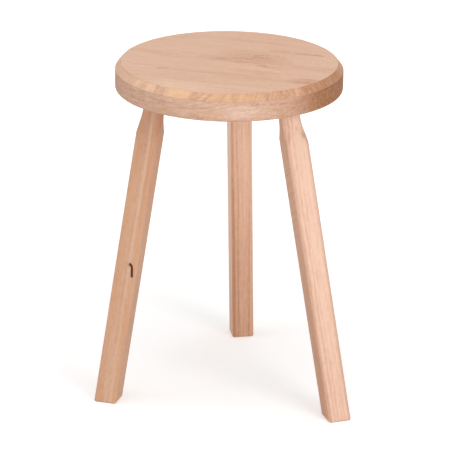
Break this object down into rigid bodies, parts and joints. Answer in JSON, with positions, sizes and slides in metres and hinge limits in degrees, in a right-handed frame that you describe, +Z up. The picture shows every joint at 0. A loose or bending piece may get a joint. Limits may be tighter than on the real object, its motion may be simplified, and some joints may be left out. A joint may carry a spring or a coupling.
{
  "type": "wooden stool",
  "caption": "Round slab seat with a bevelled rim on splayed square legs, whose turned tapered necks are set in blind sockets under the seat.",
  "frame": {"origin": "on the floor, in the middle of the stool's footprint (the middle of its bounding box)", "axes": "+Z up; +Y from the side that the picture shows towards the back leg; +X to the right as seen in the picture"},
  "size_m": [0.3447, 0.3356, 0.4618],
  "materials": {
    "seat_wood": "fine-sanded, bare or thinly oiled",
    "leg_wood": "fine-sanded, bare or thinly oiled"
  },
  "bodies": {
    "root": {"seat": "seat_wood", "leg_back": "leg_wood", "leg_left": "leg_wood", "leg_right": "leg_wood"}
  },
  "joints": []
}
